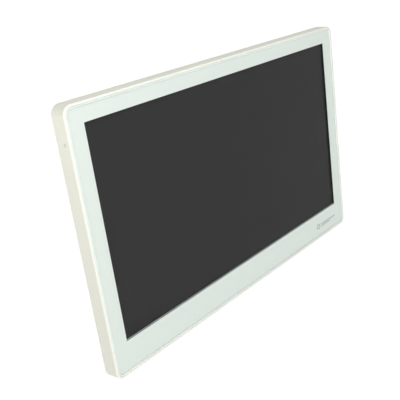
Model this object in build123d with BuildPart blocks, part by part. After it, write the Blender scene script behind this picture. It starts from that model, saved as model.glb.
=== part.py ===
from build123d import *
import os
from math import atan2, degrees, sqrt

# ---------------------------------------------------------------------------
# Wall-mounted video intercom monitor, 10.1 inch class.
# Frame: X to the right seen from the front, +Y into the wall, +Z up.
# Origin: centre of the wall bracket's back face (y = 0 is the wall).
# All sizes in millimetres.
# ---------------------------------------------------------------------------

# overall
W = 251.0            # housing width at the rear edge of the side walls
H = 155.9            # housing height there
DRAFT = 0.4          # how much each side wall leans in towards the front
Y_RIM = -22.0        # crest of the front rim
Y_BACK = -12.4       # rear edge of the side walls
R_OUT = 5.6          # corner radius of the housing seen from the front
RIM = 1.45           # width of the rim around the glass
RIM_SLOPE = 0.12     # how far the rim falls away towards its outer edge
WALL = 1.8           # side wall thickness
RIM_FILLET = 0.6     # outer rounding of the rim
RIM_INNER = 0.2      # inner rounding of the rim
BACK_FILLET = 0.5    # rounding of the rear outer edge
WF = W - 2 * DRAFT   # width and height at the front
HF = H - 2 * DRAFT
RF = R_OUT - DRAFT

# glass stack, front to back
Y_GLASS = -21.8
T_GLASS = 0.7
T_ADHESIVE = 0.04    # clear adhesive between the glass and the print film
T_PRINT = 0.06
T_SENSOR = 0.4
GLASS_GAP = 0.06
WIN_W = 226.3        # clear window in the print
WIN_H = 124.7
WIN_Z = 4.4          # window centre above the housing centre
Y_LEDGE = -20.8      # ledge the glass is taped to
LEDGE_T = 2.3

# display module
LCD_W = 235.0
LCD_H = 143.0
Y_LCD = -20.0
T_BEZEL = 0.3
T_CELL = 1.2
T_FILMS = 0.5
T_GUIDE = 2.5
T_LCD_BACK = 0.4
Y_LCD_BACK = Y_LCD + T_BEZEL + T_CELL + T_FILMS + T_GUIDE + T_LCD_BACK
VIEW_W = 230.6       # opening of the display's own front frame
VIEW_TOP = 68.5
VIEW_BOTTOM = -57.8  # close to the window edge, so a view from above meets a thin line of it

# rear cover
T_PLATE = 1.6
BOX_W = 190.0
BOX_H = 114.0
BOX_R = 6.0
Y_BOX_LIP = -0.5
Y_BOX_FLOOR = -1.5
Y_BOX_IN = -3.5
BOX_WALL = 2.0

# wall bracket
BR_W = 120.0
BR_H = 90.0
T_BR = 1.2
HOOK_X = 40.0
HOOK_Z = 25.0
HOOK_W = 10.0
HOOK_T = 1.2
HOOK_RISE = 6.0
LIFT = 8.0

# main board
PCB_X0, PCB_X1 = -58.0, 90.0
PCB_H = 100.0
Y_PCB = -12.1
T_PCB = 1.6
Y_PCB_REAR = Y_PCB + T_PCB

# speaker
SPK_X, SPK_Z = -77.5, 0.0

# microphone
MIC_Y, MIC_Z = -18.45, 58.1
MIC_SLOT = 2.0       # the sound hole is a short upright slot
MIC_SLOT_W = 0.9

SIDE_BOSS_X = 120.6
COVER_SCREWS = [(sx * SIDE_BOSS_X, z) for sx in (-1, 1) for z in (-68, 0, 68)]
LCD_SCREWS = [(sx * SIDE_BOSS_X, z) for sx in (-1, 1) for z in (-40, 40)]
BOARD_SCREWS = [(-52, 44), (82, 44), (-52, -44), (82, -44)]
SPK_SCREWS = [(SPK_X + sx * 8.5, SPK_Z + sz * 14.72) for sx in (-1, 1) for sz in (-1, 1)]


def at(y):
    """Plane parallel to the wall at depth y: local x = X, local y = Z, extrudes to the front."""
    return Plane.XZ.offset(-y)


os.makedirs("parts", exist_ok=True)

# ---------------------------------------------------------------------------
# Wall bracket: pressed steel plate, hooks bent out of it
# ---------------------------------------------------------------------------
with BuildPart() as wall_bracket:
    with BuildSketch(at(0)):
        RectangleRounded(BR_W, BR_H, 5)
        # cable window
        with Locations((0, 22)):
            RectangleRounded(40, 32, 3, mode=Mode.SUBTRACT)
        # openings the hooks were bent out of
        with Locations([(sx * HOOK_X, sz * HOOK_Z + HOOK_T / 2 + 5.2) for sx in (-1, 1) for sz in (-1, 1)]):
            Rectangle(HOOK_W + 0.6, 10.4, mode=Mode.SUBTRACT)
        # flush-box slots, 60 mm apart
        with Locations((-30, 0), (30, 0)):
            SlotOverall(8.2, 4.2, mode=Mode.SUBTRACT)
        # corner screw holes
        with GridLocations(104, 74, 2, 2):
            Circle(2.25, mode=Mode.SUBTRACT)
    extrude(amount=T_BR)
    # hook necks
    with BuildSketch(at(0)):
        with Locations([(sx * HOOK_X, sz * HOOK_Z) for sx in (-1, 1) for sz in (-1, 1)]):
            Rectangle(HOOK_W, HOOK_T)
    extrude(amount=5.0)
    # hook lips
    with BuildSketch(at(-3.8)):
        with Locations([(sx * HOOK_X, sz * HOOK_Z + (HOOK_RISE - HOOK_T / 2) / 2) for sx in (-1, 1) for sz in (-1, 1)]):
            Rectangle(HOOK_W, HOOK_RISE + HOOK_T / 2)
    extrude(amount=1.2)
    # deburred outline
    chamfer(wall_bracket.faces().sort_by(Axis.Y)[-1].outer_wire().edges(), 0.15)
    # outer bend of each hook
    fillet(wall_bracket.edges().filter_by(Axis.X).filter_by(
        lambda e: abs(e.center().Y + 5.0) < 1e-3 and abs(abs(e.center().Z + HOOK_T / 2) - HOOK_Z) < 1e-3), 0.9)
    # lead-in at the tip of each lip
    chamfer(wall_bracket.edges().filter_by(Axis.X).filter_by(
        lambda e: abs(e.center().Y + 3.8) < 1e-3 and abs(abs(e.center().Z - HOOK_RISE) - HOOK_Z) < 1e-3), 0.5)
wall_bracket.part.label = "wall_bracket"
export_step(wall_bracket.part, "parts/wall_bracket.step")

# ---------------------------------------------------------------------------
# Front housing: rim, side walls, ledge for the glass, bosses
# ---------------------------------------------------------------------------
with BuildPart() as front_housing:
    with BuildSketch(at(Y_BACK)):
        RectangleRounded(W, H, R_OUT)
    extrude(amount=Y_BACK - Y_RIM, taper=degrees(atan2(DRAFT, Y_BACK - Y_RIM)))
    # the rim falls away gently towards its outer edge, which is rounded
    front_face = front_housing.faces().sort_by(Axis.Y)[0]
    chamfer(front_face.edges(), RIM - 0.65, RIM_SLOPE, reference=front_face)
    fillet(front_housing.edges().filter_by(lambda e: abs(e.center().Y - (Y_RIM + RIM_SLOPE)) < 0.05), RIM_FILLET)
    fillet(front_housing.faces().sort_by(Axis.Y)[-1].edges(), BACK_FILLET)
    # pocket that takes the glass
    with BuildSketch(at(Y_LEDGE)):
        RectangleRounded(WF - 2 * RIM, HF - 2 * RIM, RF - RIM)
    extrude(amount=4, mode=Mode.SUBTRACT)
    # inside rounding of the rim
    fillet(front_housing.edges().filter_by(
        lambda e: abs(e.center().Y - Y_RIM) < 0.05).filter_by(
        lambda e: abs(e.center().X) < WF / 2 - RIM + 0.2 and abs(e.center().Z) < HF / 2 - RIM + 0.2), RIM_INNER)
    # cavity behind the ledge
    with BuildSketch(at(Y_BACK + 1)):
        RectangleRounded(W - 2 * WALL, H - 2 * WALL, R_OUT - WALL)
    extrude(amount=Y_BACK + 1 - (Y_LEDGE + LEDGE_T), mode=Mode.SUBTRACT)
    # opening the display looks through
    with BuildSketch(at(Y_BACK + 1)):
        RectangleRounded(LCD_W + 1, LCD_H + 0.8, 1.2)
    extrude(amount=12, mode=Mode.SUBTRACT)
    # bosses for the rear cover
    with BuildSketch(at(Y_BACK - T_PLATE)):
        with Locations(COVER_SCREWS):
            Circle(2.5)
    extrude(amount=Y_BACK - T_PLATE - (Y_LEDGE + LEDGE_T) + 0.2)
    # bosses for the display brackets
    with BuildSketch(at(Y_LCD_BACK)):
        with Locations(LCD_SCREWS):
            Circle(2.5)
    extrude(amount=Y_LCD_BACK - (Y_LEDGE + LEDGE_T) + 0.2)
    # pilot holes
    with BuildSketch(at(Y_BACK - T_PLATE)):
        with Locations(COVER_SCREWS + LCD_SCREWS):
            Circle(0.85)
    extrude(amount=3.7, mode=Mode.SUBTRACT)
    # seat for the microphone boot, cut into the back of the ledge
    with BuildSketch(at(Y_LEDGE + LEDGE_T)):
        with Locations((-W / 2 + WALL + 3.05, MIC_Z)):
            Rectangle(6.1, 5.8)
    extrude(amount=0.9, mode=Mode.SUBTRACT)
    # microphone hole through the left wall
    with BuildSketch(Plane.YZ.offset(-W / 2 - 1)):
        with Locations((MIC_Y, MIC_Z)):
            SlotOverall(MIC_SLOT, MIC_SLOT_W, rotation=90)
    extrude(amount=4, mode=Mode.SUBTRACT)
front_housing.part.label = "front_housing"
export_step(front_housing.part, "parts/front_housing.step")

# ---------------------------------------------------------------------------
# Cover glass, print, tape and touch sensor
# ---------------------------------------------------------------------------
GW = WF - 2 * RIM - 2 * GLASS_GAP
GH = HF - 2 * RIM - 2 * GLASS_GAP

with BuildPart() as cover_glass:
    with BuildSketch(at(Y_GLASS + T_GLASS)):
        RectangleRounded(GW, GH, RF - RIM - GLASS_GAP)
    extrude(amount=T_GLASS)
    chamfer(cover_glass.faces().sort_by(Axis.Y)[0].edges(), 0.1)
cover_glass.part.label = "cover_glass"
export_step(cover_glass.part, "parts/cover_glass.step")

Y_PRINT = Y_GLASS + T_GLASS + T_ADHESIVE + T_PRINT   # back of the print
with BuildPart() as border_print:
    with BuildSketch(at(Y_PRINT)):
        RectangleRounded(GW, GH, RF - RIM - GLASS_GAP)
        with Locations((0, WIN_Z)):
            Rectangle(WIN_W, WIN_H, mode=Mode.SUBTRACT)
    extrude(amount=T_PRINT)
border_print.part.label = "border_print"
export_step(border_print.part, "parts/border_print.step")

with BuildPart() as glass_tape:
    with BuildSketch(at(Y_LEDGE)):
        RectangleRounded(GW - 0.6, GH - 0.6, RF - RIM - 0.5)
        RectangleRounded(LCD_W + 1.4, LCD_H + 1.2, 1.2, mode=Mode.SUBTRACT)
    extrude(amount=Y_LEDGE - Y_PRINT)
glass_tape.part.label = "glass_tape"
export_step(glass_tape.part, "parts/glass_tape.step")

with BuildPart() as touch_sensor:
    with BuildSketch(at(Y_PRINT + T_SENSOR)):
        RectangleRounded(LCD_W + 0.2, LCD_H + 0.2, 1)
    extrude(amount=T_SENSOR)
touch_sensor.part.label = "touch_sensor"
export_step(touch_sensor.part, "parts/touch_sensor.step")

with BuildPart() as lcd_gasket:
    with BuildSketch(at(Y_LCD)):
        RectangleRounded(LCD_W - 1, LCD_H - 1, 1)
        with Locations((0, WIN_Z)):
            Rectangle(232, 129.8, mode=Mode.SUBTRACT)
    extrude(amount=Y_LCD - (Y_PRINT + T_SENSOR))
lcd_gasket.part.label = "lcd_gasket"
export_step(lcd_gasket.part, "parts/lcd_gasket.step")

# ---------------------------------------------------------------------------
# Display module
# ---------------------------------------------------------------------------
Y_GUIDE_BACK = Y_LCD_BACK - T_LCD_BACK
with BuildPart() as lcd_front_frame:
    with BuildSketch(at(Y_GUIDE_BACK)):
        RectangleRounded(LCD_W, LCD_H, 1)
    extrude(amount=Y_GUIDE_BACK - Y_LCD)
    with BuildSketch(at(Y_GUIDE_BACK)):
        RectangleRounded(LCD_W - 2 * T_BEZEL, LCD_H - 2 * T_BEZEL, 0.7)
    extrude(amount=Y_GUIDE_BACK - (Y_LCD + T_BEZEL), mode=Mode.SUBTRACT)
    # viewing area: wide at the sides, its lower edge close to the edge of the window
    with BuildSketch(at(Y_LCD + T_BEZEL)):
        with Locations((0, (VIEW_TOP + VIEW_BOTTOM) / 2)):
            Rectangle(VIEW_W, VIEW_TOP - VIEW_BOTTOM)
    extrude(amount=T_BEZEL, mode=Mode.SUBTRACT)
lcd_front_frame.part.label = "lcd_front_frame"
export_step(lcd_front_frame.part, "parts/lcd_front_frame.step")

with BuildPart() as lcd_cell:
    with BuildSketch(at(Y_LCD + T_BEZEL + T_CELL)):
        Rectangle(LCD_W - 2.4, LCD_H - 2.4)
    extrude(amount=T_CELL)
lcd_cell.part.label = "lcd_cell"
export_step(lcd_cell.part, "parts/lcd_cell.step")

Y_FILMS_BACK = Y_LCD + T_BEZEL + T_CELL + T_FILMS
with BuildPart() as optical_films:
    with BuildSketch(at(Y_FILMS_BACK)):
        Rectangle(LCD_W - 4, LCD_H - 4)
    extrude(amount=T_FILMS)
optical_films.part.label = "optical_films"
export_step(optical_films.part, "parts/optical_films.step")

with BuildPart() as light_guide:
    with BuildSketch(at(Y_GUIDE_BACK)):
        with Locations((0, 2.6)):
            Rectangle(LCD_W - 4, LCD_H - 9.4)
    extrude(amount=Y_GUIDE_BACK - Y_FILMS_BACK)
light_guide.part.label = "light_guide"
export_step(light_guide.part, "parts/light_guide.step")

with BuildPart() as led_bar:
    # narrow circuit strip with a row of side-emitting LEDs
    with BuildSketch(at(Y_GUIDE_BACK - 0.2)):
        with Locations((0, -69.3)):
            Rectangle(226, 2.6)
    extrude(amount=0.3)
    with BuildSketch(at(Y_GUIDE_BACK - 0.5)):
        with Locations((0, -68.7)):
            with GridLocations(8, 1, 27, 1):
                Rectangle(3.6, 1.4)
    extrude(amount=1.1)
led_bar.part.label = "led_bar"
export_step(led_bar.part, "parts/led_bar.step")

with BuildPart() as lcd_back_plate:
    with BuildSketch(at(Y_LCD_BACK)):
        RectangleRounded(LCD_W, LCD_H, 1)
    extrude(amount=T_LCD_BACK)
lcd_back_plate.part.label = "lcd_back_plate"
export_step(lcd_back_plate.part, "parts/lcd_back_plate.step")

with BuildPart() as lcd_brackets:
    with BuildSketch(at(Y_LCD_BACK + 0.4)):
        with Locations([(sx * 117.9, z) for sx in (-1, 1) for z in (-40, 40)]):
            RectangleRounded(10.6, 8, 1.2)
        with Locations(LCD_SCREWS):
            Circle(1.0, mode=Mode.SUBTRACT)
    extrude(amount=0.4)
lcd_brackets.part.label = "lcd_brackets"
export_step(lcd_brackets.part, "parts/lcd_brackets.step")

with BuildPart() as lcd_screws:
    with BuildSketch(at(Y_LCD_BACK + 1.1)):
        with Locations(LCD_SCREWS):
            Circle(2.1)
    extrude(amount=0.7)
    with BuildSketch(at(Y_LCD_BACK + 0.4)):
        with Locations(LCD_SCREWS):
            Circle(0.8)
    extrude(amount=2.8)
    # cross recess
    with BuildSketch(at(Y_LCD_BACK + 1.2)):
        with Locations(LCD_SCREWS):
            Rectangle(2.0, 0.4)
            Rectangle(0.4, 2.0)
    extrude(amount=0.5, mode=Mode.SUBTRACT)
lcd_screws.part.label = "lcd_screws"
export_step(lcd_screws.part, "parts/lcd_screws.step")

# display cable: from the back of the module up to the board connector
with BuildPart() as lcd_flex:
    with BuildSketch(Plane.YZ.offset(-20)):
        with BuildLine():
            FilletPolyline((-15.02, -66), (-15.02, -55.4), (-12.8, -51.2), (-12.8, -47.0), radius=1.2)
        trace(line_width=0.14)
    extrude(amount=30)
lcd_flex.part.label = "lcd_flex"
export_step(lcd_flex.part, "parts/lcd_flex.step")

# touch sensor tail: over the bottom edge of the module and up to the board
with BuildPart() as touch_flex:
    with BuildSketch(Plane.YZ.offset(40)):
        with BuildLine():
            FilletPolyline((-20.9, -71.74), (-14.7, -71.74), (-14.7, -54), (-12.8, -51), (-12.8, -47.0), radius=0.4)
        trace(line_width=0.12)
    extrude(amount=12)
touch_flex.part.label = "touch_flex"
export_step(touch_flex.part, "parts/touch_flex.step")

# ---------------------------------------------------------------------------
# Rear cover
# ---------------------------------------------------------------------------
with BuildPart() as rear_cover:
    # flat plate that closes the housing
    with BuildSketch(at(Y_BACK)):
        RectangleRounded(W - 2 * WALL - 0.4, H - 2 * WALL - 0.4, R_OUT - WALL - 0.2)
    extrude(amount=T_PLATE)
    # central box with the electronics
    with BuildSketch(at(Y_BOX_LIP)):
        RectangleRounded(BOX_W, BOX_H, BOX_R)
    extrude(amount=Y_BOX_LIP - Y_BACK)
    fillet(rear_cover.faces().sort_by(Axis.Y)[-1].edges(), 0.8)
    # inside of the box
    with BuildSketch(at(Y_BOX_IN)):
        RectangleRounded(BOX_W - 2 * BOX_WALL, BOX_H - 2 * BOX_WALL, BOX_R - BOX_WALL)
    extrude(amount=14, mode=Mode.SUBTRACT)
    # shallow recess the wall bracket sits in
    with BuildSketch(at(Y_BOX_LIP + 1)):
        with Locations((0, -1.2)):
            RectangleRounded(BOX_W - 12, 104.4, 3)
    extrude(amount=Y_BOX_LIP + 1 - Y_BOX_FLOOR, mode=Mode.SUBTRACT)
    # hook slots
    with BuildSketch(at(0)):
        with Locations([(sx * HOOK_X, sz * HOOK_Z - 4.175) for sx in (-1, 1) for sz in (-1, 1)]):
            Rectangle(11, 9.65)
    extrude(amount=5, mode=Mode.SUBTRACT)
    # window over the wiring sockets
    with BuildSketch(at(0)):
        with Locations((0, 21)):
            RectangleRounded(44, 32, 2)
    extrude(amount=5, mode=Mode.SUBTRACT)
    # loudspeaker grille: horizontal slots inside a circle
    with BuildSketch(at(0)):
        for k in range(-3, 4):
            with Locations((SPK_X, SPK_Z + 3 * k)):
                SlotOverall(2 * sqrt(11.4 ** 2 - (3 * k) ** 2), 1.5)
    extrude(amount=5, mode=Mode.SUBTRACT)
    # board bosses
    with BuildSketch(at(Y_BOX_IN)):
        with Locations(BOARD_SCREWS):
            Circle(3)
    extrude(amount=Y_BOX_IN - Y_PCB_REAR)
    with BuildSketch(at(Y_PCB_REAR + 5.5)):
        with Locations(BOARD_SCREWS):
            Circle(1.1)
    extrude(amount=6, mode=Mode.SUBTRACT)
    # loudspeaker bosses
    with BuildSketch(at(Y_BOX_IN)):
        with Locations(SPK_SCREWS):
            Circle(2.4)
    extrude(amount=1.5)
    with BuildSketch(at(-2.3)):
        with Locations(SPK_SCREWS):
            Circle(0.85)
    extrude(amount=3, mode=Mode.SUBTRACT)
    # screw holes to the front housing, counterbored from behind
    with BuildSketch(at(Y_BACK + 1)):
        with Locations(COVER_SCREWS):
            Circle(1.15)
    extrude(amount=4, mode=Mode.SUBTRACT)
    with BuildSketch(at(Y_BACK + 1)):
        with Locations(COVER_SCREWS):
            Circle(2.2)
    extrude(amount=1.8, mode=Mode.SUBTRACT)
    # relief over the display screws
    with BuildSketch(at(Y_BACK - T_PLATE + 0.5)):
        with Locations(LCD_SCREWS):
            Circle(2.7)
    extrude(amount=2, mode=Mode.SUBTRACT)
    # card slot, switch window and reset hole in the right-hand wall of the box
    with BuildSketch(Plane.YZ.offset(BOX_W / 2 - 4)):
        with Locations((-9.55, 20)):
            Rectangle(1.4, 12)
        with Locations((-8.75, -10)):
            Rectangle(2.4, 5.8)
        with Locations((-8.9, -28)):
            Circle(1.35)
    extrude(amount=6, mode=Mode.SUBTRACT)
    # cooling slots in the top and bottom walls of the box
    with BuildSketch(Plane.XY.offset(BOX_H / 2 + 1)):
        with Locations((0, -7.5)):
            with GridLocations(6, 1, 15, 1):
                SlotOverall(6, 1.6, rotation=90)
    extrude(amount=-4, mode=Mode.SUBTRACT)
    with BuildSketch(Plane.XY.offset(-BOX_H / 2 - 1)):
        with Locations((0, -7.5)):
            with GridLocations(6, 1, 15, 1):
                SlotOverall(6, 1.6, rotation=90)
    extrude(amount=4, mode=Mode.SUBTRACT)
rear_cover.part.label = "rear_cover"
export_step(rear_cover.part, "parts/rear_cover.step")

with BuildPart() as rear_cover_screws:
    with BuildSketch(at(Y_BACK - 0.1)):
        with Locations(COVER_SCREWS):
            Circle(1.95)
    extrude(amount=0.7)
    with BuildSketch(at(Y_BACK - 0.8)):
        with Locations(COVER_SCREWS):
            Circle(0.8)
    extrude(amount=4.2)
    with BuildSketch(at(Y_BACK)):
        with Locations(COVER_SCREWS):
            Rectangle(2.0, 0.4)
            Rectangle(0.4, 2.0)
    extrude(amount=0.5, mode=Mode.SUBTRACT)
rear_cover_screws.part.label = "rear_cover_screws"
export_step(rear_cover_screws.part, "parts/rear_cover_screws.step")

with BuildPart() as rating_label:
    with BuildSketch(at(Y_BACK + 0.1)):
        with Locations((-109, 0)):
            RectangleRounded(22, 58, 1.5)
    extrude(amount=0.1)
rating_label.part.label = "rating_label"
export_step(rating_label.part, "parts/rating_label.step")

# ---------------------------------------------------------------------------
# Main board and what is soldered to it
# ---------------------------------------------------------------------------
PCB_W = PCB_X1 - PCB_X0
PCB_XC = (PCB_X0 + PCB_X1) / 2
with BuildPart() as main_board:
    with BuildSketch(at(Y_PCB_REAR)):
        with Locations((PCB_XC, 0)):
            RectangleRounded(PCB_W, PCB_H, 2)
        with Locations(BOARD_SCREWS):
            Circle(1.3, mode=Mode.SUBTRACT)
    extrude(amount=T_PCB)
main_board.part.label = "main_board"
export_step(main_board.part, "parts/main_board.step")

with BuildPart() as board_screws:
    with BuildSketch(at(Y_PCB)):
        with Locations(BOARD_SCREWS):
            Circle(2.5)
    extrude(amount=1.4)
    with BuildSketch(at(-6)):
        with Locations(BOARD_SCREWS):
            Circle(1.05)
    extrude(amount=-6 - Y_PCB)
    with BuildSketch(at(Y_PCB - 0.8)):
        with Locations(BOARD_SCREWS):
            Rectangle(2.6, 0.5)
            Rectangle(0.5, 2.6)
    extrude(amount=2, mode=Mode.SUBTRACT)
board_screws.part.label = "board_screws"
export_step(board_screws.part, "parts/board_screws.step")

with BuildPart() as processor_chip:
    with BuildSketch(at(-9.1)):
        with Locations((-31, -22)):
            Rectangle(15, 15)
    extrude(amount=1.4)
    chamfer(processor_chip.faces().sort_by(Axis.Y)[-1].edges(), 0.2)
processor_chip.part.label = "processor_chip"
export_step(processor_chip.part, "parts/processor_chip.step")

with BuildPart() as thermal_pad:
    with BuildSketch(at(-7.5)):
        with Locations((-31, -22)):
            Rectangle(13, 13)
    extrude(amount=1.6)
thermal_pad.part.label = "thermal_pad"
export_step(thermal_pad.part, "parts/thermal_pad.step")

with BuildPart() as memory_chips:
    with BuildSketch(at(-9.5)):
        with Locations((-13, -14.5), (-13, -29.5)):
            Rectangle(13, 9)
    extrude(amount=1.0)
memory_chips.part.label = "memory_chips"
export_step(memory_chips.part, "parts/memory_chips.step")

with BuildPart() as shield_can:
    with BuildSketch(at(-7.2)):
        with Locations((-22, -22)):
            RectangleRounded(44, 32, 1.2)
    extrude(amount=-7.2 - Y_PCB_REAR)
    with BuildSketch(at(-7.5)):
        with Locations((-22, -22)):
            RectangleRounded(43.4, 31.4, 0.9)
    extrude(amount=5, mode=Mode.SUBTRACT)
    # vent holes over the memory
    with BuildSketch(at(-7)):
        with Locations((-11, -22)):
            with GridLocations(3, 3, 5, 8):
                Rectangle(1.2, 1.2)
    extrude(amount=1, mode=Mode.SUBTRACT)
shield_can.part.label = "shield_can"
export_step(shield_can.part, "parts/shield_can.step")

with BuildPart() as power_inductors:
    with BuildSketch(at(-7.0)):
        with Locations((52, 34), (61, 34), (70, 34)):
            RectangleRounded(7, 7, 1.2)
    extrude(amount=3.5)
power_inductors.part.label = "power_inductors"
export_step(power_inductors.part, "parts/power_inductors.step")

with BuildPart() as capacitors:
    # square bases
    with BuildSketch(at(-10.0)):
        with Locations((55, 4), (64, 4), (55, -6), (64, -6)):
            RectangleRounded(6.6, 6.6, 0.8)
    extrude(amount=0.5)
    # round cans
    with BuildSketch(at(-5.2)):
        with Locations((55, 4), (64, 4), (55, -6), (64, -6)):
            Circle(3.15)
    extrude(amount=4.8)
capacitors.part.label = "capacitors"
export_step(capacitors.part, "parts/capacitors.step")

HDR_Y = -4.2        # mouth of the wiring sockets
HDR_FLOOR = -9.4
DOOR_X = [(-13.5, 28), (0.5, 28)]
CAM_X = [(-13.5, 14), (0.5, 14)]
PWR_X = (14.0, 28)

with BuildPart() as door_headers:
    with BuildSketch(at(HDR_Y)):
        with Locations(DOOR_X):
            Rectangle(12.4, 6.4)
    extrude(amount=HDR_Y - Y_PCB_REAR)
    with BuildSketch(at(HDR_Y)):
        with Locations(DOOR_X):
            Rectangle(10.8, 4.6)
    extrude(amount=HDR_Y - HDR_FLOOR, mode=Mode.SUBTRACT)
    # polarising slots
    with BuildSketch(at(HDR_Y)):
        with Locations([(x + dx, z - 2.75) for (x, z) in DOOR_X for dx in (-3, 3)]):
            Rectangle(1.2, 0.9)
    extrude(amount=HDR_Y - HDR_FLOOR - 1, mode=Mode.SUBTRACT)
door_headers.part.label = "door_headers"
export_step(door_headers.part, "parts/door_headers.step")

with BuildPart() as camera_headers:
    with BuildSketch(at(HDR_Y)):
        with Locations(CAM_X):
            Rectangle(12.4, 6.4)
    extrude(amount=HDR_Y - Y_PCB_REAR)
    with BuildSketch(at(HDR_Y)):
        with Locations(CAM_X):
            Rectangle(10.8, 4.6)
    extrude(amount=HDR_Y - HDR_FLOOR, mode=Mode.SUBTRACT)
    with BuildSketch(at(HDR_Y)):
        with Locations([(x + dx, z - 2.75) for (x, z) in CAM_X for dx in (-3, 3)]):
            Rectangle(1.2, 0.9)
    extrude(amount=HDR_Y - HDR_FLOOR - 1, mode=Mode.SUBTRACT)
camera_headers.part.label = "camera_headers"
export_step(camera_headers.part, "parts/camera_headers.step")

with BuildPart() as power_header:
    with BuildSketch(at(HDR_Y)):
        with Locations(PWR_X):
            Rectangle(9.0, 6.4)
    extrude(amount=HDR_Y - Y_PCB_REAR)
    with BuildSketch(at(HDR_Y)):
        with Locations(PWR_X):
            Rectangle(7.4, 4.6)
    extrude(amount=HDR_Y - HDR_FLOOR, mode=Mode.SUBTRACT)
    with BuildSketch(at(HDR_Y)):
        with Locations((PWR_X[0], PWR_X[1] - 2.75)):
            Rectangle(1.6, 0.9)
    extrude(amount=HDR_Y - HDR_FLOOR - 1, mode=Mode.SUBTRACT)
power_header.part.label = "power_header"
export_step(power_header.part, "parts/power_header.step")

with BuildPart() as header_pins:
    with BuildSketch(at(-5.4)):
        with Locations([(x + 2.5 * (k - 1.5), z) for (x, z) in DOOR_X + CAM_X for k in range(4)]
                       + [(PWR_X[0] - 1.98, PWR_X[1]), (PWR_X[0] + 1.98, PWR_X[1])]):
            Rectangle(0.64, 0.64)
    extrude(amount=-5.4 - HDR_FLOOR)
header_pins.part.label = "header_pins"
export_step(header_pins.part, "parts/header_pins.step")

with BuildPart() as lcd_connector:
    with BuildSketch(at(Y_PCB)):
        with Locations((-5, -44.5)):
            Rectangle(34, 5)
    extrude(amount=1.3)
    with BuildSketch(Plane.XY.offset(-48)):
        with Locations((-5, -12.8)):
            Rectangle(30.6, 0.34)
    extrude(amount=3, mode=Mode.SUBTRACT)
lcd_connector.part.label = "lcd_connector"
export_step(lcd_connector.part, "parts/lcd_connector.step")

with BuildPart() as touch_connector:
    with BuildSketch(at(Y_PCB)):
        with Locations((46, -44.5)):
            Rectangle(15.5, 5)
    extrude(amount=1.3)
    with BuildSketch(Plane.XY.offset(-48)):
        with Locations((46, -12.8)):
            Rectangle(12.5, 0.34)
    extrude(amount=3, mode=Mode.SUBTRACT)
touch_connector.part.label = "touch_connector"
export_step(touch_connector.part, "parts/touch_connector.step")

with BuildPart() as lead_connectors:
    # microphone socket on the front side, loudspeaker socket on the rear side
    with BuildSketch(at(Y_PCB)):
        with Locations((-45, 44)):
            Rectangle(4.6, 4)
    extrude(amount=1.7)
    with BuildSketch(at(-8.4)):
        with Locations((-55.2, 0)):
            Rectangle(4, 4.6)
    extrude(amount=2.1)
lead_connectors.part.label = "lead_connectors"
export_step(lead_connectors.part, "parts/lead_connectors.step")

# memory card socket at the right edge of the board
with BuildPart() as sd_socket:
    with BuildSketch(at(-8.6)):
        with Locations((84, 20)):
            Rectangle(15, 14.6)
    extrude(amount=1.9)
    with BuildSketch(Plane.YZ.offset(79.9)):
        with Locations((-9.55, 20)):
            Rectangle(1.3, 11.6)
    extrude(amount=14, mode=Mode.SUBTRACT)
sd_socket.part.label = "sd_socket"
export_step(sd_socket.part, "parts/sd_socket.step")

with BuildPart() as sd_card:
    with BuildSketch(at(-9.2)):
        with Locations((88.9, 20)):
            Rectangle(15, 11)
        # notched corner
        with Locations((82.1, 25.1)):
            Rectangle(1.4, 0.8, mode=Mode.SUBTRACT)
    extrude(amount=0.7)
    fillet(sd_card.edges().filter_by(Axis.Y), 0.3)
sd_card.part.label = "sd_card"
export_step(sd_card.part, "parts/sd_card.step")

# slide switch
with BuildPart() as switch_body:
    with BuildSketch(at(-7.0)):
        with Locations((88.2, -10)):
            Rectangle(3.8, 9)
    extrude(amount=3.5)
    with BuildSketch(Plane.YZ.offset(88)):
        with Locations((-8.75, -10)):
            Rectangle(2.4, 5.8)
    extrude(amount=4, mode=Mode.SUBTRACT)
switch_body.part.label = "switch_body"
export_step(switch_body.part, "parts/switch_body.step")

with BuildPart() as switch_knob:
    with BuildSketch(Plane.YZ.offset(88.4)):
        with Locations((-8.75, -11.5)):
            RectangleRounded(1.7, 2.0, 0.3)
    extrude(amount=7.6)
    # grip grooves on the outer end
    with BuildSketch(at(-7)):
        with Locations((96.0, -12.0), (96.0, -11.0)):
            Rectangle(0.5, 0.35)
    extrude(amount=4, mode=Mode.SUBTRACT)
switch_knob.part.label = "switch_knob"
export_step(switch_knob.part, "parts/switch_knob.step")

# reset push button
with BuildPart() as reset_switch_body:
    with BuildSketch(at(-7.3)):
        with Locations((88.2, -28)):
            Rectangle(3.8, 5)
    extrude(amount=3.2)
    with BuildSketch(Plane.YZ.offset(88.2)):
        with Locations((-8.9, -28)):
            Circle(1.2)
    extrude(amount=4, mode=Mode.SUBTRACT)
reset_switch_body.part.label = "reset_switch_body"
export_step(reset_switch_body.part, "parts/reset_switch_body.step")

with BuildPart() as reset_button:
    with BuildSketch(Plane.YZ.offset(88.9)):
        with Locations((-8.9, -28)):
            Circle(0.95)
    extrude(amount=6.5)
    fillet(reset_button.faces().sort_by(Axis.X)[-1].edges(), 0.3)
reset_button.part.label = "reset_button"
export_step(reset_button.part, "parts/reset_button.step")

# clock battery in its holder
with BuildPart() as battery_holder:
    with BuildSketch(at(-7.9)):
        with Locations((62, -30)):
            Circle(7.8)
    extrude(amount=2.6)
    with BuildSketch(at(-7.9)):
        with Locations((62, -30)):
            Circle(6.5)
            Rectangle(20, 6)
    extrude(amount=2.1, mode=Mode.SUBTRACT)
battery_holder.part.label = "battery_holder"
export_step(battery_holder.part, "parts/battery_holder.step")

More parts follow.
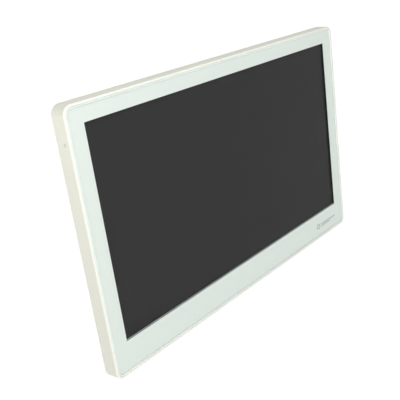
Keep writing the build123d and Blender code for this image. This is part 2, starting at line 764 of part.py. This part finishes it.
with BuildPart() as clock_battery:
    with BuildSketch(at(-8.0)):
        with Locations((62, -30)):
            Circle(6.25)
    extrude(amount=2.0)
    fillet(clock_battery.faces().sort_by(Axis.Y)[-1].edges(), 0.3)
clock_battery.part.label = "clock_battery"
export_step(clock_battery.part, "parts/clock_battery.step")

# ---------------------------------------------------------------------------
# Microphone
# ---------------------------------------------------------------------------
with BuildPart() as mic_boot:
    with BuildSketch(Plane.YZ.offset(-W / 2 + WALL)):
        with Locations((-16.95, MIC_Z)):
            RectangleRounded(4.7, 5.2, 0.6)
    extrude(amount=4.3)
    # capsule seat
    with BuildSketch(Plane.YZ.offset(-W / 2 + WALL + 1.0)):
        with Locations((-17.15, MIC_Z)):
            Circle(1.95)
    extrude(amount=5, mode=Mode.SUBTRACT)
    # sound channel
    with BuildSketch(Plane.YZ.offset(-W / 2 + WALL - 0.5)):
        with Locations((MIC_Y, MIC_Z)):
            SlotOverall(MIC_SLOT, MIC_SLOT_W, rotation=90)
    extrude(amount=2, mode=Mode.SUBTRACT)
mic_boot.part.label = "mic_boot"
export_step(mic_boot.part, "parts/mic_boot.step")

with BuildPart() as microphone:
    with BuildSketch(Plane.YZ.offset(-W / 2 + WALL + 1.1)):
        with Locations((-17.15, MIC_Z)):
            Circle(1.9)
    extrude(amount=2.4)
microphone.part.label = "microphone"
export_step(microphone.part, "parts/microphone.step")

MX = -W / 2 + WALL + 3.5
with BuildPart() as mic_lead:
    for dz in (-0.4, 0.4):
        with BuildLine() as mic_path:
            FilletPolyline((MX, -17.2, MIC_Z + dz), (-118.4, -17.2, MIC_Z + dz), (-118.4, -14.65, MIC_Z + dz),
                           (-54, -14.65, MIC_Z + dz), (-45.5 + 2 * dz, -14.65, 53.9), (-45 + 2 * dz, -12.95, 49.6),
                           (-45 + 2 * dz, -12.95, 46), radius=0.55)
        with BuildSketch(Plane.YZ.offset(MX)):
            with Locations((-17.2, MIC_Z + dz)):
                Circle(0.27)
        sweep(path=mic_path.wires()[0])
mic_lead.part.label = "mic_lead"
export_step(mic_lead.part, "parts/mic_lead.step")

# ---------------------------------------------------------------------------
# Loudspeaker, facing the wall through the grille; all round parts turn about one axis
# ---------------------------------------------------------------------------
SPK_PLANE = Plane(origin=(SPK_X, 0, SPK_Z), x_dir=(1, 0, 0), z_dir=(0, 0, 1))
SPK_AXIS = Axis((SPK_X, 0, SPK_Z), (0, 1, 0))

with BuildPart() as speaker_mesh:
    with BuildSketch(at(Y_BOX_IN)):
        with Locations((SPK_X, SPK_Z)):
            Circle(13.6)
    extrude(amount=0.2)
speaker_mesh.part.label = "speaker_mesh"
export_step(speaker_mesh.part, "parts/speaker_mesh.step")

with BuildPart() as speaker_gasket:
    with BuildSketch(at(-3.7)):
        with Locations((SPK_X, SPK_Z)):
            Circle(13.8)
            Circle(12.3, mode=Mode.SUBTRACT)
    extrude(amount=0.5)
speaker_gasket.part.label = "speaker_gasket"
export_step(speaker_gasket.part, "parts/speaker_gasket.step")

with BuildPart() as speaker_frame:
    with BuildSketch(SPK_PLANE):
        Polygon((12.2, -4.2), (14.0, -4.2), (14.0, -5.0), (12.95, -5.0), (9.0, -8.4), (9.0, -9.2),
                (8.05, -9.2), (8.05, -8.0), (12.2, -5.3), align=None)
    revolve(axis=SPK_AXIS)
    # windows in the basket
    with BuildSketch(at(-5.4)):
        with Locations((SPK_X, SPK_Z)):
            with PolarLocations(10.8, 6, start_angle=30):
                Rectangle(3.0, 6.0)
    extrude(amount=2.4, mode=Mode.SUBTRACT)
    # terminal tab
    with BuildSketch(at(-7.3)):
        with Locations((SPK_X + 9.9, SPK_Z)):
            Rectangle(2.4, 6)
    extrude(amount=0.9)
speaker_frame.part.label = "speaker_frame"
export_step(speaker_frame.part, "parts/speaker_frame.step")

with BuildPart() as speaker_yoke:
    with BuildSketch(SPK_PLANE):
        Polygon((0, -9.7), (6.2, -9.7), (6.2, -7.9), (8.0, -7.9), (8.0, -10.5), (0, -10.5), align=None)
    revolve(axis=SPK_AXIS)
speaker_yoke.part.label = "speaker_yoke"
export_step(speaker_yoke.part, "parts/speaker_yoke.step")

with BuildPart() as speaker_magnet:
    with BuildSketch(at(-8.2)):
        with Locations((SPK_X, SPK_Z)):
            Circle(4.4)
    extrude(amount=1.5)
speaker_magnet.part.label = "speaker_magnet"
export_step(speaker_magnet.part, "parts/speaker_magnet.step")

with BuildPart() as speaker_cone:
    with BuildSketch(SPK_PLANE):
        Polygon((0, -5.7), (3, -5.95), (5.0, -6.5), (10.6, -4.9), (10.6, -5.2), (5.5, -6.8), (5.0, -6.8),
                (3, -6.3), (0, -6.0), align=None)
    revolve(axis=SPK_AXIS)
speaker_cone.part.label = "speaker_cone"
export_step(speaker_cone.part, "parts/speaker_cone.step")

with BuildPart() as voice_coil:
    with BuildSketch(at(-6.8)):
        with Locations((SPK_X, SPK_Z)):
            Circle(5.4)
            Circle(5.0, mode=Mode.SUBTRACT)
    extrude(amount=2.2)
voice_coil.part.label = "voice_coil"
export_step(voice_coil.part, "parts/voice_coil.step")

with BuildPart() as speaker_surround:
    with BuildSketch(SPK_PLANE):
        with BuildLine():
            ThreePointArc((10.6, -4.9), (11.4, -4.5), (12.2, -4.9))
            Line((12.2, -4.9), (12.2, -5.1))
            ThreePointArc((12.2, -5.1), (11.4, -4.75), (10.6, -5.1))
            Line((10.6, -5.1), (10.6, -4.9))
        make_face()
    revolve(axis=SPK_AXIS)
speaker_surround.part.label = "speaker_surround"
export_step(speaker_surround.part, "parts/speaker_surround.step")

with BuildPart() as speaker_screws:
    with BuildSketch(at(-5.0)):
        with Locations(SPK_SCREWS):
            Circle(3.9)
    extrude(amount=0.8)
    with BuildSketch(at(-5.8)):
        with Locations(SPK_SCREWS):
            Circle(2.2)
    extrude(amount=0.8)
    with BuildSketch(at(-2.6)):
        with Locations(SPK_SCREWS):
            Circle(0.8)
    extrude(amount=2.4)
    with BuildSketch(at(-6.2)):
        with Locations(SPK_SCREWS):
            Rectangle(2.0, 0.4)
            Rectangle(0.4, 2.0)
    extrude(amount=1, mode=Mode.SUBTRACT)
speaker_screws.part.label = "speaker_screws"
export_step(speaker_screws.part, "parts/speaker_screws.step")

with BuildPart() as speaker_lead:
    for dz in (-0.8, 0.8):
        with BuildLine() as spk_path:
            FilletPolyline((SPK_X + 11.1, -7.75, dz), (SPK_X + 14.5, -7.75, dz), (SPK_X + 17, -9.4, dz),
                           (SPK_X + 20.3, -9.4, dz), radius=1.4)
        with BuildSketch(Plane.YZ.offset(SPK_X + 11.1)):
            with Locations((-7.75, dz)):
                Circle(0.35)
        sweep(path=spk_path.wires()[0])
speaker_lead.part.label = "speaker_lead"
export_step(speaker_lead.part, "parts/speaker_lead.step")
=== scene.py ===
import math

import bmesh
import bpy
from mathutils import Matrix, Vector


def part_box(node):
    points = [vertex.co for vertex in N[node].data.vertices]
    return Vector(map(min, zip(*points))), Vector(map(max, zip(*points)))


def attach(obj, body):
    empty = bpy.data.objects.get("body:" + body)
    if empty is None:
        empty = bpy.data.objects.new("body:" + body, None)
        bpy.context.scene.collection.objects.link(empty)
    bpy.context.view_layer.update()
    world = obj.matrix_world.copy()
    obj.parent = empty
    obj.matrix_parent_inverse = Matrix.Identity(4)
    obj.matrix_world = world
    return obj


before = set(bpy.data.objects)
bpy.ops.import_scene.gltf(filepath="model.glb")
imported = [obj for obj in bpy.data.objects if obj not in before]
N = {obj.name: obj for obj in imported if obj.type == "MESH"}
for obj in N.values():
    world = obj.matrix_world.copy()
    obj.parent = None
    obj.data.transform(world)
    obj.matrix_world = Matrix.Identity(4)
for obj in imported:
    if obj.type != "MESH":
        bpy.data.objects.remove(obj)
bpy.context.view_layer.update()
scene = bpy.context.scene
scene.view_settings.view_transform = "Standard"
scene.view_settings.look = "None"
scene.view_settings.exposure = 0.0
scene.view_settings.gamma = 1.0
scene.render.film_transparent = False


# ---------------------------------------------------------------------------
# light levels
# ---------------------------------------------------------------------------
EVEN = 0.03
LOBES = (
    ((0, -1, 0), 2.0, 0.49),
    ((-0.6, -0.6, 0.5), 6.0, 0.52),
    ((0.75, 0.15, 0.65), 4.0, 1.54),
    ((0.3, 0.95, 0.0), 3.0, 0.12),
)
FLOOR_GLOW = 0.83
AREAS = (
    ("key", (-0.45, -0.50, 0.32), 0.3, 0.994),
    ("corner", (-0.42, -0.25, 0.35), 0.2, 0.987),
    ("fill", (-0.15, -0.45, 0.45), 0.3, 0.244),
)

# ---------------------------------------------------------------------------
# materials
# ---------------------------------------------------------------------------
def srgb(r, g, b):
    """0-255 display values to linear."""
    out = []
    for c in (r, g, b):
        c /= 255.0
        out.append(c / 12.92 if c <= 0.04045 else ((c + 0.055) / 1.055) ** 2.4)
    return tuple(out)


class Mat:
    """A Principled material whose colour, roughness and relief come from noise at real scale (metres)."""

    def __init__(self, name, color, rough=0.4, metallic=0.0, **sockets):
        self.m = bpy.data.materials.new(name)
        self.m.use_nodes = True
        self.nt = self.m.node_tree
        self.bsdf = self.nt.nodes["Principled BSDF"]
        self.color = color
        self.set("Base Color", (*color, 1.0))
        self.set("Roughness", rough)
        self.set("Metallic", metallic)
        for k, v in sockets.items():
            self.set(k.replace("_", " "), v)
        self.m.diffuse_color = (*color, 1.0)
        self._co = None
        self._bump = None

    def set(self, socket, value):
        self.bsdf.inputs[socket].default_value = value

    def new(self, kind, **props):
        n = self.nt.nodes.new(kind)
        for k, v in props.items():
            setattr(n, k, v)
        return n

    def link(self, a, b):
        self.nt.links.new(a, b)

    def co(self, scale=None):
        if self._co is None:
            self._co = self.new("ShaderNodeTexCoord").outputs["Object"]
        if scale is None:
            return self._co
        mp = self.new("ShaderNodeMapping")
        mp.inputs["Scale"].default_value = scale
        self.link(self._co, mp.inputs["Vector"])
        return mp.outputs["Vector"]

    def noise(self, size_mm, detail=3.0, rough=0.55, stretch=None):
        """Noise whose features are about size_mm across; stretch is per-axis."""
        s = 1000.0 / size_mm
        n = self.new("ShaderNodeTexNoise")
        n.inputs["Scale"].default_value = s if stretch is None else 1.0
        n.inputs["Detail"].default_value = detail
        n.inputs["Roughness"].default_value = rough
        self.link(self.co() if stretch is None else self.co(tuple(s * k for k in stretch)), n.inputs["Vector"])
        return n.outputs["Fac"]

    def voronoi(self, size_mm, feature="F1", out="Distance", randomness=1.0):
        n = self.new("ShaderNodeTexVoronoi", feature=feature)
        n.inputs["Scale"].default_value = 1000.0 / size_mm
        n.inputs["Randomness"].default_value = randomness
        self.link(self.co(), n.inputs["Vector"])
        return n.outputs[out]

    def remap(self, fac, lo, hi, a=0.3, b=0.7):
        n = self.new("ShaderNodeMapRange")
        n.inputs["From Min"].default_value = a
        n.inputs["From Max"].default_value = b
        n.inputs["To Min"].default_value = lo
        n.inputs["To Max"].default_value = hi
        self.link(fac, n.inputs["Value"])
        return n.outputs["Result"]

    def mix(self, fac, c1, c2, lo=0.3, hi=0.7):
        """Colour between c1 and c2 by fac; each is a colour or a socket."""
        n = self.new("ShaderNodeMix", data_type="RGBA")
        self.link(self.remap(fac, 0.0, 1.0, lo, hi), n.inputs["Factor"])
        for i, c in ((6, c1), (7, c2)):
            if isinstance(c, tuple):
                n.inputs[i].default_value = (*c, 1.0)
            else:
                self.link(c, n.inputs[i])
        return n.outputs[2]

    def base(self, socket):
        self.link(socket, self.bsdf.inputs["Base Color"])
        return self

    def roughness(self, socket):
        self.link(socket, self.bsdf.inputs["Roughness"])
        return self

    def relief(self, fac, depth_mm, strength=1.0):
        b = self.new("ShaderNodeBump")
        b.inputs["Strength"].default_value = strength
        b.inputs["Distance"].default_value = depth_mm / 1000.0
        self.link(fac, b.inputs["Height"])
        if self._bump is not None:
            self.link(self._bump.outputs["Normal"], b.inputs["Normal"])
        self._bump = b
        self.link(b.outputs["Normal"], self.bsdf.inputs["Normal"])
        return self


def shade(c, k):
    return tuple(min(1.0, x * k) for x in c)


def tint(c, kr, kg, kb):
    return (min(1, c[0] * kr), min(1, c[1] * kg), min(1, c[2] * kb))


# warm ivory moulded plastic of the housing: fine spark-eroded grain, faint flow and handling variation
IVORY = srgb(227, 227, 214)
ivory = Mat("ivory_plastic", IVORY, 0.42)
ivory.set("Specular IOR Level", 0.45)
c = ivory.mix(ivory.noise(38, 3), shade(IVORY, 0.985), tint(IVORY, 1.01, 1.01, 1.0))
c = ivory.mix(ivory.noise(0.55, 2), c, shade(IVORY, 1.03), 0.35, 1.3)
# painted highlight: the crest of the rim is painted a little paler than the walls, standing in for the bright line
# the light draws along it
xyz = ivory.new("ShaderNodeSeparateXYZ")
ivory.link(ivory.co(), xyz.inputs[0])
crest_highlight = ivory.remap(xyz.outputs["Y"], 0.0, 1.0, -0.0216, -0.0219)
c = ivory.mix(crest_highlight, c, srgb(232, 235, 224), 0.0, 1.0)
ivory.base(c)
ivory.roughness(ivory.remap(ivory.noise(6, 4), 0.36, 0.50))
ivory.relief(ivory.noise(0.32, 2, 0.6), 0.012, 0.55)
ivory.relief(ivory.noise(9, 2), 0.02, 0.25)

# the rear cover: same plastic, coarser texture and duller
IVORY2 = srgb(222, 221, 208)
rear = Mat("ivory_plastic_textured", IVORY2, 0.55)
rear.set("Specular IOR Level", 0.4)
c = rear.mix(rear.noise(45, 3), shade(IVORY2, 0.97), shade(IVORY2, 1.02))
c = rear.mix(rear.noise(0.7, 2), c, shade(IVORY2, 0.9), 0.45, 1.2)
rear.base(c)
rear.roughness(rear.remap(rear.noise(5, 4), 0.50, 0.64))
rear.relief(rear.noise(0.45, 3, 0.65), 0.03, 0.7)

# clear pane; its edge and bevel read faintly green
glass = Mat("clear_glass", (0.02, 0.03, 0.025), 0.03)
glass.set("Alpha", 0.02)
glass.set("IOR", 1.52)
glass.set("Specular IOR Level", 0.0)   # the gloss is on the coats behind the pane
glass.m.surface_render_method = "BLENDED"

# pale mint print seen through the pane: the pane's gloss is the coat
MINT = srgb(220, 229, 222)
mint = Mat("mint_print", MINT, 0.35)
mint.set("Coat Weight", 1.0)
mint.set("Coat Roughness", 0.02)
mint.set("Coat IOR", 1.22)
mint.set("Specular IOR Level", 0.2)
c = mint.mix(mint.noise(70, 2), shade(MINT, 0.992), shade(MINT, 1.006))
c = mint.mix(mint.voronoi(0.25), c, shade(MINT, 1.012), 0.2, 1.6)
mint.base(c)
mint.roughness(mint.remap(mint.noise(14, 3), 0.30, 0.42))

# switched-off display: even dark grey behind the coated pane, with a very faint cell grid
LCD = srgb(53, 53, 53)
lcd = Mat("lcd_dark", LCD, 0.30)
lcd.set("Coat Weight", 1.0)
lcd.set("Coat Roughness", 0.02)
lcd.set("Coat IOR", 1.12)
lcd.set("Specular IOR Level", 0.0)
g = lcd.new("ShaderNodeTexChecker")
g.inputs["Scale"].default_value = 1000.0 / 0.22
g.inputs["Color1"].default_value = (*shade(LCD, 0.998), 1)
g.inputs["Color2"].default_value = (*shade(LCD, 1.002), 1)
lcd.link(lcd.co(), g.inputs["Vector"])
lcd.base(lcd.mix(lcd.noise(30, 2), g.outputs["Color"], shade(LCD, 1.01), 0.3, 1.2))
lcd.roughness(lcd.remap(lcd.noise(20, 3), 0.26, 0.36))

# clear sensor film, nearly invisible
sensor = Mat("sensor_film", (0.02, 0.02, 0.02), 0.05)
sensor.set("Alpha", 0.0)
sensor.m.surface_render_method = "BLENDED"


def metal(name, color, rough, grain_mm=0.5, stretch=(1, 1, 1), spangle=0.0, depth=0.01):
    m = Mat(name, color, rough, 1.0)
    c = m.mix(m.noise(12, 3), shade(color, 0.93), shade(color, 1.04))
    if spangle:
        c = m.mix(m.voronoi(spangle, out="Color"), c, shade(color, 0.86), 0.2, 1.4)
    m.base(c)
    m.roughness(m.remap(m.noise(grain_mm * 4, 3, stretch=stretch), rough * 0.8, rough * 1.25))
    m.relief(m.noise(grain_mm, 3, stretch=stretch), depth, 0.5)
    return m


def plastic(name, color, rough, grain_mm=0.4, var=0.06, depth=0.012, spec=0.4):
    m = Mat(name, color, rough)
    m.set("Specular IOR Level", spec)
    m.base(m.mix(m.noise(9, 3), shade(color, 1 - var), shade(color, 1 + var)))
    m.roughness(m.remap(m.noise(2.5, 3), rough * 0.85, min(1.0, rough * 1.15)))
    m.relief(m.noise(grain_mm, 2), depth, 0.5)
    return m


bezel = metal("bezel_steel", (0.74, 0.76, 0.76), 0.55, 0.4, (0.2, 1, 1))
bezel.set("Metallic", 0.25)
zinc = metal("zinc_steel", (0.62, 0.64, 0.66), 0.34, 0.8, (1, 1, 1), spangle=5.0, depth=0.006)
screw = metal("screw_steel", (0.56, 0.57, 0.60), 0.28, 0.25)
tin = metal("tin_can", (0.70, 0.70, 0.68), 0.36, 0.3, (0.1, 1, 1))
alu = metal("aluminium_can", (0.78, 0.79, 0.80), 0.30, 0.2, (1, 0.1, 1))
nickel = metal("nickel", (0.66, 0.65, 0.60), 0.22, 0.3)
pins = metal("tin_plated_pins", (0.78, 0.76, 0.68), 0.25, 0.2)
copper = metal("copper_winding", (0.72, 0.36, 0.16), 0.35, 0.12, (0.1, 6, 0.1), depth=0.02)
chip = plastic("chip_epoxy", (0.028, 0.028, 0.03), 0.55, 0.15)
ferrite = plastic("ferrite", (0.05, 0.05, 0.055), 0.62, 0.3)
nylon = plastic("nylon_natural", srgb(233, 228, 208), 0.42, 0.3, 0.03)
beige = plastic("connector_beige", srgb(205, 195, 168), 0.45, 0.3, 0.04)
black = plastic("black_nylon", (0.018, 0.018, 0.02), 0.42, 0.25, 0.12)
card = plastic("card_plastic", (0.02, 0.02, 0.023), 0.38, 0.2, 0.12)
rubber = plastic("black_rubber", (0.016, 0.016, 0.017), 0.72, 0.3, 0.1, 0.02)
foam = plastic("black_foam", (0.02, 0.02, 0.02), 0.92, 0.35, 0.25, 0.08, 0.2)
pad = plastic("thermal_pad", srgb(140, 150, 170), 0.75, 0.3)
white = plastic("white_film", (0.80, 0.80, 0.80), 0.5, 0.2, 0.02)
acryl = plastic("acrylic", (0.78, 0.82, 0.82), 0.12, 0.5, 0.02)
leds = plastic("led_strip", (0.72, 0.68, 0.40), 0.4, 0.5, 0.1)
flex = plastic("polyimide", (0.50, 0.22, 0.04), 0.28, 0.4, 0.10)
wire = plastic("wire_pvc", (0.42, 0.02, 0.015), 0.38, 0.5, 0.05)
cone = plastic("cone_film", (0.03, 0.03, 0.034), 0.30, 0.4, 0.1)

# woven speaker mesh
mesh = Mat("woven_mesh", (0.012, 0.012, 0.012), 0.75)
wv = []
for ax in (0, 2):
    w = mesh.new("ShaderNodeTexWave", wave_type="BANDS", bands_direction="X" if ax == 0 else "Z")
    w.inputs["Scale"].default_value = 1000.0 / 0.35 / 6.2832 * 3.1416
    w.inputs["Distortion"].default_value = 0.0
    mesh.link(mesh.co(), w.inputs["Vector"])
    wv.append(w.outputs["Fac"])
mx = mesh.new("ShaderNodeMath", operation="MULTIPLY")
mesh.link(wv[0], mx.inputs[0])
mesh.link(wv[1], mx.inputs[1])
mesh.base(mesh.mix(mx.outputs[0], (0.004, 0.004, 0.004), (0.05, 0.05, 0.05), 0.0, 1.0))
mesh.relief(mx.outputs[0], 0.05, 0.8)

# solder mask with faint copper runs under it
PCB = srgb(16, 84, 52)
pcb = Mat("solder_mask", PCB, 0.32)
pcb.set("Specular IOR Level", 0.5)
br = pcb.new("ShaderNodeTexBrick")
br.inputs["Scale"].default_value = 1.0
br.inputs["Brick Width"].default_value = 7.0
br.inputs["Row Height"].default_value = 1.1
br.inputs["Mortar Size"].default_value = 0.16
br.inputs["Color1"].default_value = (*PCB, 1)
br.inputs["Color2"].default_value = (*shade(PCB, 0.92), 1)
br.inputs["Mortar"].default_value = (*tint(PCB, 2.0, 1.35, 1.3), 1)
mp = pcb.new("ShaderNodeMapping")
mp.inputs["Rotation"].default_value = (math.radians(90), 0, 0)
mp.inputs["Scale"].default_value = (1000, 1000, 1000)
pcb.link(pcb.co(), mp.inputs["Vector"])
pcb.link(mp.outputs["Vector"], br.inputs["Vector"])
pcb.base(pcb.mix(pcb.noise(15, 2), br.outputs["Color"], shade(PCB, 0.85), 0.35, 1.2))
pcb.roughness(pcb.remap(pcb.noise(3, 3), 0.26, 0.42))
pcb.relief(br.outputs["Fac"], 0.02, 0.4)

# blank silver label
label = Mat("blank_label", (0.62, 0.63, 0.64), 0.38, 0.85)
label.base(label.mix(label.noise(1.2, 3, stretch=(6, 1, 0.25)), (0.56, 0.57, 0.58), (0.68, 0.69, 0.70)))
label.roughness(label.remap(label.noise(4, 3), 0.32, 0.46))
label.relief(label.noise(0.3, 2), 0.006, 0.4)

USE = {
    "front_housing": ivory, "rear_cover": rear, "cover_glass": glass, "border_print": mint, "glass_tape": foam,
    "touch_sensor": sensor, "touch_flex": flex, "lcd_gasket": foam, "lcd_front_frame": bezel, "lcd_cell": lcd,
    "optical_films": white, "light_guide": acryl, "led_bar": leds, "lcd_back_plate": bezel, "lcd_flex": flex,
    "lcd_brackets": zinc, "lcd_screws": screw, "rear_cover_screws": screw, "main_board": pcb, "board_screws": screw,
    "processor_chip": chip, "thermal_pad": pad, "memory_chips": chip, "shield_can": tin, "power_inductors": ferrite,
    "capacitors": alu, "door_headers": nylon, "camera_headers": nylon, "power_header": nylon, "header_pins": pins,
    "lcd_connector": beige, "touch_connector": beige, "lead_connectors": beige, "sd_socket": tin, "sd_card": card,
    "switch_body": black, "switch_knob": black, "reset_switch_body": black, "reset_button": black,
    "microphone": alu, "mic_boot": rubber, "mic_lead": wire, "speaker_frame": black, "speaker_yoke": nickel,
    "speaker_magnet": nickel, "speaker_cone": cone, "voice_coil": copper, "speaker_surround": rubber,
    "speaker_gasket": foam, "speaker_mesh": mesh, "speaker_screws": screw, "speaker_lead": wire,
    "battery_holder": beige, "clock_battery": nickel, "rating_label": label, "wall_bracket": zinc,
}
for name, o in N.items():
    o.data.materials.clear()
    o.data.materials.append(USE[name].m)

# ---------------------------------------------------------------------------
# pieces added to the model
# ---------------------------------------------------------------------------
def solid(name, build, mat, body, smooth=False):
    """A closed mesh piece made by build(bm), in metres, riding on a body."""
    bm = bmesh.new()
    build(bm)
    bmesh.ops.recalc_face_normals(bm, faces=bm.faces)
    me = bpy.data.meshes.new(name)
    bm.to_mesh(me)
    bm.free()
    if smooth:
        for p in me.polygons:
            p.use_smooth = True
    o = bpy.data.objects.new(name, me)
    scene.collection.objects.link(o)
    me.materials.append(mat.m)
    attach(o, body)
    return o


def plate(bm, loop, y0, y1):
    """Closed plate between two depths from a loop of (x, z) points; all in mm."""
    a = [bm.verts.new((x / 1000, y0 / 1000, z / 1000)) for x, z in loop]
    b = [bm.verts.new((x / 1000, y1 / 1000, z / 1000)) for x, z in loop]
    bm.faces.new(a)
    bm.faces.new(b[::-1])
    n = len(loop)
    for i in range(n):
        bm.faces.new((a[i], b[i], b[(i + 1) % n], a[(i + 1) % n]))


def ring(bm, cx, cz, r0, r1, y0, y1, n=48):
    """Closed flat ring between two depths, in mm."""
    v = []
    for r, y in ((r0, y0), (r1, y0), (r1, y1), (r0, y1)):
        v.append([bm.verts.new(((cx + r * math.cos(t)) / 1000, y / 1000, (cz + r * math.sin(t)) / 1000))
                  for t in (2 * math.pi * k / n for k in range(n))])
    for q in range(4):
        for i in range(n):
            bm.faces.new((v[q][i], v[q][(i + 1) % n], v[(q + 1) % 4][(i + 1) % n], v[(q + 1) % 4][i]))


def pill(x0, x1, z, h, n=8):
    """Loop of a bar with round ends."""
    r = h / 2
    out = []
    for cx, a0 in ((x1 - r, -90), (x0 + r, 90)):
        out += [(cx + r * math.cos(math.radians(a0 + 180 * k / n)), z + r * math.sin(math.radians(a0 + 180 * k / n)))
                for k in range(n + 1)]
    return out


# generic mark printed on the border under the pane: a ring and two bars
grey = plastic("print_grey", srgb(150, 157, 153), 0.5, 0.3, 0.03)


def mark(bm):
    ring(bm, 88.2, -68.0, 1.35, 2.1, -21.09, -21.07)
    plate(bm, pill(92.2, 112.4, -67.2, 0.7), -21.09, -21.07)
    plate(bm, pill(92.2, 105.4, -68.8, 0.7), -21.09, -21.07)


solid("front_mark", mark, grey, "monitor")

# painted highlight: a pale band just inside the pane's outline, seen as a fine pale line, stands in for the light
# caught by the pane's edge
edge_highlight = Mat("painted_highlight_edge", srgb(240, 247, 241), 0.5)
edge_highlight.set("Specular IOR Level", 0.5)
edge_highlight.base(edge_highlight.mix(edge_highlight.noise(18, 3), srgb(236, 244, 238), srgb(244, 249, 244)))
edge_highlight.roughness(edge_highlight.remap(edge_highlight.noise(0.6, 3), 0.42, 0.60))
edge_highlight.relief(edge_highlight.noise(0.15, 2), 0.004, 0.5)


def rounded(x0, x1, z0, z1, r, n=10):
    """Loop of a rectangle with round corners."""
    out = []
    for cx, cz, a0 in ((x1 - r, z1 - r, 0), (x0 + r, z1 - r, 90), (x0 + r, z0 + r, 180), (x1 - r, z0 + r, 270)):
        out += [(cx + r * math.cos(math.radians(a0 + 90 * k / n)), cz + r * math.sin(math.radians(a0 + 90 * k / n)))
                for k in range(n + 1)]
    return out


def band(bm, outer, inner, y0, y1):
    """Closed frame between two loops of equal length and two depths, in mm."""
    v = []
    for loop, y in ((outer, y0), (inner, y0), (inner, y1), (outer, y1)):
        v.append([bm.verts.new((x / 1000, y / 1000, z / 1000)) for x, z in loop])
    n = len(outer)
    for q in range(4):
        for i in range(n):
            bm.faces.new((v[q][i], v[q][(i + 1) % n], v[(q + 1) % 4][(i + 1) % n], v[(q + 1) % 4][i]))


def glass_edge(bm):
    lo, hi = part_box("cover_glass")
    x0, y0, z0 = (1000 * c for c in lo)
    x1, y1, z1 = (1000 * c for c in hi)
    o, i = 0.1, 0.6         # inset of the band's two sides from the outline
    band(bm, rounded(x0 + o, x1 - o, z0 + o, z1 - o, 3.69 - o), rounded(x0 + i, x1 - i, z0 + i, z1 - i, 3.69 - i),
         y0 + 0.01, y1 - 0.02)


solid("glass_edge", glass_edge, edge_highlight, "monitor")

# ---------------------------------------------------------------------------
# camera
# ---------------------------------------------------------------------------
cam = bpy.data.cameras.new("camera")
cam_o = bpy.data.objects.new("camera", cam)
scene.collection.objects.link(cam_o)
fwd = Vector((0.68653, 0.64886, -0.32811)).normalized()
up = Vector((0.33387, 0.11956, 0.93501))
right = fwd.cross(up).normalized()
up = right.cross(fwd).normalized()
rot = Matrix((right, up, -fwd)).transposed()
cam_o.matrix_world = Matrix.Translation((-0.31465, -0.28198, 0.13115)) @ rot.to_4x4()
cam.sensor_width = 36.0
cam.lens = 59.971
cam.clip_start = 0.01
cam.clip_end = 2000.0
scene.camera = cam_o

# ---------------------------------------------------------------------------
# floor, world and lights
# ---------------------------------------------------------------------------
me = bpy.data.meshes.new("floor")
bm = bmesh.new()
bmesh.ops.create_grid(bm, x_segments=1, y_segments=1, size=400.0)
bm.to_mesh(me)
bm.free()
floor = bpy.data.objects.new("floor", me)
floor.location = (0, 0, -0.45)
scene.collection.objects.link(floor)
fm = bpy.data.materials.new("pale_floor")
fm.use_nodes = True
fb = fm.node_tree.nodes["Principled BSDF"]
fb.inputs["Base Color"].default_value = (0.45, 0.45, 0.45, 1)
fb.inputs["Roughness"].default_value = 1.0
fb.inputs["Specular IOR Level"].default_value = 0.0
fb.inputs["Emission Color"].default_value = (1, 1, 1, 1)
fb.inputs["Emission Strength"].default_value = FLOOR_GLOW
me.materials.append(fm)

# soft studio surround: an even part plus broad soft lobes, each a direction, a sharpness and a strength
world = bpy.data.worlds.new("studio")
scene.world = world
world.use_nodes = True
wn = world.node_tree
bg = wn.nodes["Background"]
tc = wn.nodes.new("ShaderNodeTexCoord")


def math_node(operation, *values):
    n = wn.nodes.new("ShaderNodeMath")
    n.operation = operation
    for k, v in enumerate(values):
        if isinstance(v, (int, float)):
            n.inputs[k].default_value = v
        else:
            wn.links.new(v, n.inputs[k])
    return n.outputs[0]


total = None
for direction, power, strength in LOBES:
    d = wn.nodes.new("ShaderNodeVectorMath")
    d.operation = "DOT_PRODUCT"
    wn.links.new(tc.outputs["Generated"], d.inputs[0])
    d.inputs[1].default_value = Vector(direction).normalized()
    lobe = math_node("POWER", math_node("MAXIMUM", d.outputs["Value"], 0.0), power)
    total = math_node("MULTIPLY_ADD", lobe, strength, EVEN if total is None else total)
wn.links.new(total, bg.inputs["Color"])
bg.inputs["Strength"].default_value = 1.0
# above the horizon the backdrop itself is seen as pale as the floor
pale = wn.nodes.new("ShaderNodeBackground")
pale.inputs["Color"].default_value = (1, 1, 1, 1)
lp = wn.nodes.new("ShaderNodeLightPath")
both = wn.nodes.new("ShaderNodeMixShader")
wn.links.new(lp.outputs["Is Camera Ray"], both.inputs["Fac"])
wn.links.new(bg.outputs["Background"], both.inputs[1])
wn.links.new(pale.outputs["Background"], both.inputs[2])
wn.links.new(both.outputs["Shader"], wn.nodes["World Output"].inputs["Surface"])


def area(name, loc, target, size, power, color=(1, 1, 1)):
    l = bpy.data.lights.new(name, "AREA")
    l.shape = "RECTANGLE"
    l.size, l.size_y = size
    l.energy = power
    l.color = color
    o = bpy.data.objects.new(name, l)
    d = Vector(target) - Vector(loc)
    o.location = loc
    o.rotation_mode = "QUATERNION"
    o.rotation_quaternion = d.to_track_quat("-Z", "Y")
    scene.collection.objects.link(o)
    return o


for name, at, size, power in AREAS:
    area(name, at, (0, 0, 0), (size, size), power)
